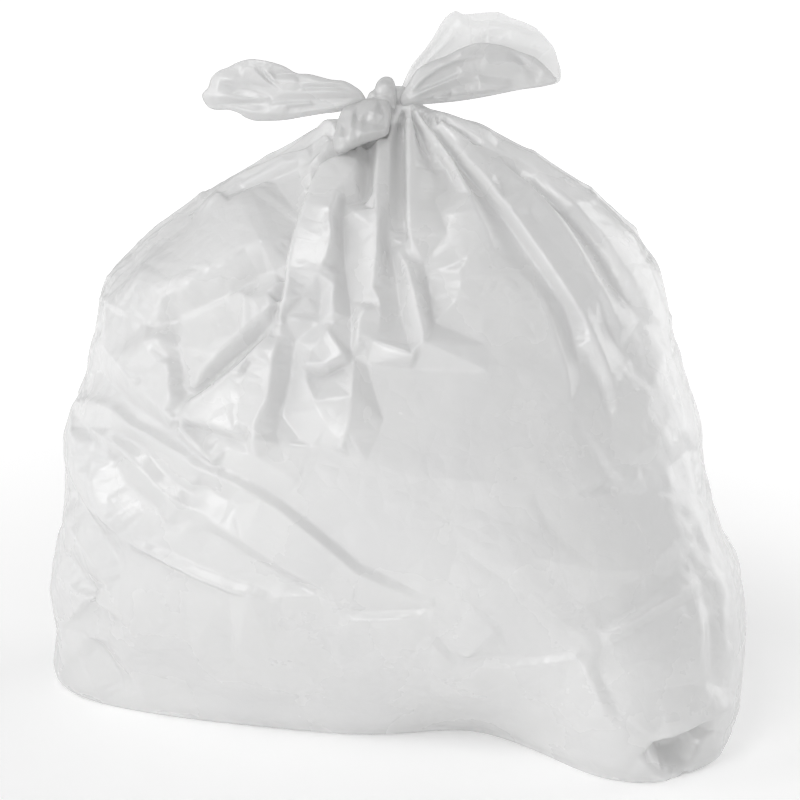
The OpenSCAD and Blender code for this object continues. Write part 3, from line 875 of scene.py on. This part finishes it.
# Outlines and folds of the knot and the ears, as pixels of the photograph
LEFT_EAR = [
    (366, 99), (352, 108), (338, 112), (322, 114), (304, 117), (286, 120), (270, 121), (256, 121),
    (246, 118), (238, 113), (228, 110), (216, 110), (208, 107), (203, 100), (202, 94), (208, 87),
    (211, 78), (218, 71), (228, 67), (238, 62), (250, 59), (262, 60), (272, 62), (284, 66),
    (297, 73), (310, 74), (330, 79), (345, 81), (356, 87), (362, 92),
]
LEFT_EAR_FOLDS = [
    (-1.8, 300, 87, 320, 87, 340, 87, 352, 90),
    (1.6, 300, 83, 320, 82, 338, 83, 350, 86),
    (1.4, 284, 93, 310, 92, 335, 91, 355, 94),
    (-2, 270, 101, 295, 101, 320, 99, 345, 98, 360, 98),
    (-1.8, 290, 108, 312, 106, 335, 103, 356, 100),
    (1.4, 268, 105, 290, 104, 310, 103),
    (1.2, 300, 112, 322, 109, 345, 105),
    (-2.2, 270, 76, 282, 73, 294, 73, 298, 77),
    (2, 262, 66, 268, 73, 274, 80, 288, 80, 302, 80),
    (1.8, 266, 63, 278, 66, 290, 71),
    (-1.4, 262, 70, 266, 78, 274, 84),
    (1.8, 240, 66, 252, 68, 258, 74, 272, 87),
    (-1.5, 226, 83, 238, 88, 252, 90, 266, 95, 276, 97),
    (-1.3, 242, 85, 256, 85, 268, 87),
    (1.2, 214, 80, 226, 79, 240, 82),
    (1.4, 210, 97, 230, 96, 250, 99, 266, 99),
    (-1.2, 214, 104, 232, 104, 250, 103, 262, 104),
    (1.6, 236, 108, 252, 112, 270, 113, 288, 113),
]
RIGHT_EAR = [
    (402, 105), (399, 96), (402, 86), (407, 74), (413, 63), (424, 50), (433, 37), (441, 23),
    (449, 14), (456, 11), (464, 14), (478, 13), (498, 12), (510, 17), (524, 22), (536, 28),
    (546, 38), (554, 48), (558, 60), (561, 72), (559, 82), (546, 86), (520, 90), (490, 96),
    (460, 101), (430, 103),
]
RIGHT_EAR_FOLDS = [
    (-2, 412, 72, 424, 60, 436, 46, 448, 30, 455, 22),
    (1.8, 412, 66, 424, 53, 436, 38, 446, 24),
    (1.6, 420, 68, 434, 54, 448, 40, 458, 28),
    (-1.8, 422, 70, 440, 54, 456, 40, 466, 34),
    (1.6, 456, 14, 462, 24, 472, 27, 490, 27, 508, 28, 526, 34, 540, 42),
    (-1.8, 462, 15, 474, 20, 492, 19, 510, 22, 528, 28, 542, 36),
    (-1.2, 480, 40, 492, 37, 504, 34),
    (1.4, 470, 34, 500, 42, 530, 46, 552, 56),
    (-1.2, 536, 46, 534, 58, 538, 68),
]
RIGHT_FRONT = [
    (402, 106), (400, 98), (408, 84), (417, 70), (430, 62), (446, 56), (462, 48), (478, 43),
    (494, 44), (507, 47), (520, 52), (534, 57), (543, 64), (551, 72), (557, 81), (546, 86),
    (520, 90), (490, 96), (460, 101), (430, 104),
]
RIGHT_FRONT_FOLDS = [
    (-2.2, 406, 98, 420, 86, 438, 72, 456, 64, 480, 60),
    (1.8, 408, 95, 424, 78, 442, 66, 462, 58, 486, 54),
    (2, 408, 100, 430, 88, 456, 78, 478, 72),
    (-2, 408, 102, 432, 94, 458, 86, 478, 82),
    (-1.6, 410, 92, 426, 88, 444, 80, 462, 70),
    (1.8, 480, 66, 490, 62, 506, 61, 520, 64),
    (1.4, 474, 78, 484, 84, 506, 86),
    (-1.5, 510, 50, 522, 60, 528, 70, 540, 72),
    (1.4, 524, 56, 538, 66, 550, 78),
    (1.8, 412, 100, 440, 97, 470, 92, 498, 90),
    (-1.8, 414, 104, 440, 96, 470, 95, 500, 92, 520, 87, 536, 87),
    (-1.3, 484, 76, 506, 78, 524, 74),
]
KNOT = [
    (367, 98), (377, 96), (391, 98), (392, 110), (390, 124), (388, 134), (379, 139), (367, 143),
    (355, 148), (344, 153), (336, 152), (333, 142), (336, 128), (339, 116), (345, 107),
    (356, 103),
]
KNOT_FOLDS = [
    (-3.2, 360, 121, 368, 122, 376, 124, 384, 126),
    (2.2, 358, 116, 366, 110, 376, 112, 374, 118),
    (2, 356, 130, 366, 133, 378, 131, 386, 129),
    (2.6, 354, 107, 352, 116, 351, 126, 349, 134),
    (-3, 346, 122, 345, 130, 345, 138),
    (-2, 357, 107, 356, 116, 355, 124),
    (-2.2, 344, 108, 343, 116, 341, 122),
    (2.2, 338, 122, 339, 132, 338, 144),
    (2.6, 377, 98, 376, 105, 366, 107, 362, 104),
    (-2.4, 379, 104, 382, 112, 386, 122),
    (1.8, 389, 102, 389, 114, 387, 128),
    (-2.2, 344, 146, 356, 142, 370, 138, 382, 135),
]
CURL = [
    (366, 100), (369, 93), (374, 89), (377, 82), (383, 77), (390, 77), (394, 81), (396, 88),
    (397, 98), (395, 110), (388, 108), (378, 104),
]
CURL_FOLDS = [
    (-2.6, 378, 82, 384, 80, 390, 80, 394, 84),
    (1.8, 379, 87, 386, 84, 392, 88),
    (-1.6, 376, 90, 377, 97),
    (1.6, 369, 95, 373, 92),
    (-1.4, 388, 92, 391, 99),
]


# Outline, folds, lean, belly, root, taper, rings and columns of each leaf
LEAVES = {
    "ear_right_back": (RIGHT_EAR, RIGHT_EAR_FOLDS, (-2, 0.05, 0.0), 3.0, (402, 102), 0.55, 26, 260),
    "ear_right_front": (RIGHT_FRONT, RIGHT_FRONT_FOLDS, (-14, 0.03, 0.0), 6.0, (402, 102), 0.6,
                        26, 260),
    "ear_left": (LEFT_EAR, LEFT_EAR_FOLDS, (-12, -0.06, 0.0), 7.0, (364, 99), 0.7, 26, 300),
    "knot_wrap": (KNOT, KNOT_FOLDS, (-22, 0.0, -0.45), 17.0, (364, 120), 0.0, 26, 200),
    "knot_curl": (CURL, CURL_FOLDS, (-14, 0.0, -0.3), 8.0, (382, 96), 0.0, 16, 120),
}


# Contents
LOAD_TOP = 0.985
LOAD_EVERY = (4, 5)

# How far the load stands inside the film: everywhere, and what comes to it at the folded corner
# and at the right and left edges, where it also changes from place to place
LOAD_GAP = 13
TUCK_GAP = 20
RIGHT_GAP = 14
LEFT_GAP = 16
SIDE_CHANGE = 8


def make_contents():
    """The bag's load, a soft mass that shows through the film."""
    rows = film_base()[::LOAD_EVERY[0], ::LOAD_EVERY[1]]
    share = rows[..., 2].mean(axis=1) / NECK_H
    n = normals(rows)
    centre = rows.mean(axis=1, keepdims=True)
    radius = np.linalg.norm((rows - centre)[..., :2], axis=2)
    right = band(rows[..., 0], 60, 200) * band(share, 0.1, 0.4)[:, None]
    right = right * (1 - 0.6 * band(share, 0.7, 0.9))[:, None]
    left = band(-rows[..., 0], 130, 215) * (1 - 0.7 * band(share, 0.45, 0.8))[:, None]
    gap = LOAD_GAP + 3 * noise(rows, 55, 61) + TUCK_GAP * tuck_share(rows, 2)
    gap = gap + (RIGHT_GAP + SIDE_CHANGE * noise(rows, 40, 62)) * right
    gap = gap + (LEFT_GAP + SIDE_CHANGE * noise(rows, 45, 63)) * left
    gap = np.minimum(gap, 0.45 * radius)
    rows = rows - n * gap[..., None] * band(share, 0, 0.03)[:, None, None]
    rows[..., 2] = np.maximum(rows[..., 2], 2.5)
    return closed_skin("contents", rows[share < LOAD_TOP])


# Materials
FILM_ALPHA = 0.72
GATHERED_ALPHA = 0.75
THIN_ALPHA = 0.45


def add_node(tree, kind, **values):
    """A new node, with values on its sockets. An underscore stands for a space."""
    node = tree.nodes.new("ShaderNode" + kind)
    for socket, value in values.items():
        node.inputs[socket.replace("_", " ")].default_value = value
    return node


def add_math(tree, operation, first, second):
    """A new maths node. Its inputs are numbers or outputs of other nodes."""
    node = tree.nodes.new("ShaderNodeMath")
    node.operation = operation
    for socket, value in zip(node.inputs, (first, second)):
        if isinstance(value, float):
            socket.default_value = value
        else:
            tree.links.new(value, socket)
    return node.outputs[0]


def add_tint(tree, factor, dark, light):
    """A ramp between two colours, each with its place on the ramp."""
    ramp = tree.nodes.new("ShaderNodeValToRGB")
    for element, (position, color) in zip(ramp.color_ramp.elements, (dark, light)):
        element.position = position
        element.color = color + (1,)
    tree.links.new(factor, ramp.inputs["Fac"])
    return ramp.outputs["Color"]


def new_material(name):
    """A material, its node tree and its shader."""
    material = bpy.data.materials.new(name)
    material.use_nodes = True
    tree = material.node_tree
    return material, tree, tree.nodes["Principled BSDF"]


def film_material(name, alpha, dark, light):
    """Thin white film: cloudy, glossy, finely crinkled, and partly see-through."""
    material, tree, shader = new_material(name)
    link = tree.links.new
    shader.inputs["Alpha"].default_value = alpha
    shader.inputs["IOR"].default_value = 1.5
    shader.inputs["Specular IOR Level"].default_value = 0.9

    at = add_node(tree, "TexCoord").outputs["Object"]
    cloud = add_node(tree, "TexNoise", Scale=14.0, Detail=5.0)
    link(at, cloud.inputs["Vector"])
    tint = add_tint(tree, cloud.outputs["Fac"], (0.3, (dark, dark, dark * 1.004)),
                    (0.72, (light, light, light * 0.996)))
    link(tint, shader.inputs["Base Color"])
    gloss = add_node(tree, "MapRange", To_Min=0.2, To_Max=0.34)
    link(cloud.outputs["Fac"], gloss.inputs["Value"])
    link(gloss.outputs["Result"], shader.inputs["Roughness"])

    warp = add_node(tree, "TexNoise", Scale=30.0)
    link(at, warp.inputs["Vector"])
    moved = tree.nodes.new("ShaderNodeVectorMath")
    moved.operation = "MULTIPLY_ADD"
    link(warp.outputs["Color"], moved.inputs[0])
    moved.inputs[1].default_value = (0.012, 0.012, 0.012)
    link(at, moved.inputs[2])
    facets = add_node(tree, "TexVoronoi", Scale=75.0)
    facets.feature = "DISTANCE_TO_EDGE"
    link(moved.outputs["Vector"], facets.inputs["Vector"])
    fine = add_node(tree, "TexNoise", Scale=160.0, Detail=4.0)
    link(moved.outputs["Vector"], fine.inputs["Vector"])
    broad = add_node(tree, "Bump", Strength=0.35, Distance=0.0015)
    link(facets.outputs["Distance"], broad.inputs["Height"])
    narrow = add_node(tree, "Bump", Strength=0.25, Distance=0.0006)
    link(fine.outputs["Fac"], narrow.inputs["Height"])
    link(broad.outputs["Normal"], narrow.inputs["Normal"])
    link(narrow.outputs["Normal"], shader.inputs["Normal"])
    return material


def contents_material():
    """The pale, soft load, with faint lighter and darker lumps."""
    material, tree, shader = new_material("contents")
    link = tree.links.new
    shader.inputs["Roughness"].default_value = 0.9
    lumps = add_node(tree, "TexNoise", Scale=9.0, Detail=3.0)
    link(add_node(tree, "TexCoord").outputs["Object"], lumps.inputs["Vector"])
    tint = add_tint(tree, lumps.outputs["Fac"], (0.3, (0.82, 0.82, 0.82)),
                    (0.7, (0.89, 0.89, 0.885)))
    link(tint, shader.inputs["Base Color"])
    bump = add_node(tree, "Bump", Strength=0.4, Distance=0.004)
    link(lumps.outputs["Fac"], bump.inputs["Height"])
    link(bump.outputs["Normal"], shader.inputs["Normal"])
    return material


# Stage
WORLD_LIGHT = 0.44
FLOOR_COLOUR = (0.9, 0.9, 0.9, 1)

# Glow of the floor: least of all, then near the bag and far away, and where those two are
FLOOR_BOUNCE = 0.2
FLOOR_GLOW_NEAR = 0.22
FLOOR_GLOW_FAR = 0.7
NEAR = 0.3
FAR = 1.6

# Name, place, aim, size and watts
LAMPS = (
    ("key", (-2.2, -0.6, 1.6), (0, 0, 0.2), 1.6, 11),
    ("top", (-0.6, -1.5, 2.2), (0, 0, 0.25), 0.8, 10),
    ("front", (-1.3, -1.9, 0.55), (0, 0, 0.05), 0.9, 10),
    ("right", (1.9, 0.9, 0.8), (0, 0, 0.2), 2.0, 19),
)


def area_lamp(name, at, aim, size, power):
    """A round lamp that looks at a point."""
    data = bpy.data.lights.new(name, "AREA")
    data.shape = "DISK"
    data.size = size
    data.energy = power
    lamp = bpy.data.objects.new(name, data)
    bpy.context.scene.collection.objects.link(lamp)
    lamp.location = at
    lamp.rotation_euler = (Vector(aim) - Vector(at)).to_track_quat("-Z", "Y").to_euler()


def floor_material():
    """White floor that keeps the bag's shadow and glows more with its distance from the bag."""
    material = bpy.data.materials.new("floor")
    material.use_nodes = True
    tree = material.node_tree
    tree.nodes.clear()
    link = tree.links.new
    rays = add_node(tree, "LightPath").outputs
    other = add_math(tree, "MAXIMUM", rays["Is Glossy Ray"], rays["Is Transmission Ray"])
    shown = add_math(tree, "MAXIMUM", rays["Is Camera Ray"], other)
    away = tree.nodes.new("ShaderNodeVectorMath")
    away.operation = "LENGTH"
    link(add_node(tree, "TexCoord").outputs["Object"], away.inputs[0])
    grow = add_node(tree, "MapRange", From_Min=NEAR, From_Max=FAR, To_Min=FLOOR_GLOW_NEAR,
                    To_Max=FLOOR_GLOW_FAR)
    link(away.outputs["Value"], grow.inputs["Value"])
    scaled = add_math(tree, "MULTIPLY", shown, grow.outputs["Result"])
    glow = add_node(tree, "Emission")
    link(add_math(tree, "MAXIMUM", scaled, FLOOR_BOUNCE), glow.inputs["Strength"])
    add = add_node(tree, "AddShader")
    link(add_node(tree, "BsdfDiffuse", Color=FLOOR_COLOUR).outputs[0], add.inputs[0])
    link(glow.outputs[0], add.inputs[1])
    link(add.outputs[0], add_node(tree, "OutputMaterial").inputs["Surface"])
    return material


def make_stage():
    """Floor, white surroundings and lamps."""
    bpy.ops.mesh.primitive_plane_add(size=30)
    floor = bpy.context.active_object
    floor.name = "floor"
    floor.data.materials.append(floor_material())

    world = bpy.data.worlds.new("world")
    bpy.context.scene.world = world
    world.use_nodes = True
    tree = world.node_tree
    back = tree.nodes["Background"]
    back.inputs["Color"].default_value = (1, 1, 1, 1)
    camera_rays = add_node(tree, "LightPath").outputs["Is Camera Ray"]
    strength = add_math(tree, "MULTIPLY_ADD", camera_rays, 1 - WORLD_LIGHT)
    strength.node.inputs[2].default_value = WORLD_LIGHT
    tree.links.new(strength, back.inputs["Strength"])
    for values in LAMPS:
        area_lamp(*values)


make_camera()
film = make_film()
contents = make_contents()
ears_and_knot = [leaf(name, *values) for name, values in LEAVES.items()]
thin_ear = ears_and_knot[0]
film.data.materials.append(film_material("film", FILM_ALPHA, 0.87, 0.925))
contents.data.materials.append(contents_material())
# The knot and the ears get the body's film with a darker base colour, which is painted shade of the
# gathered folds.
gathered = film_material("gathered_film_painted_shade", GATHERED_ALPHA, 0.7, 0.79)
for piece in ears_and_knot[1:]:
    piece.data.materials.append(gathered)
# The back of the right ear is the same film, more see-through and a little darker; its darker base
# colour is painted shade.
thin_ear.data.materials.append(film_material("thin_film_painted_shade", THIN_ALPHA, 0.82, 0.89))
for piece in [film, contents] + ears_and_knot:
    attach(piece, "root")
    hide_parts("bag")
make_stage()
bpy.context.scene.view_settings.view_transform = "Standard"
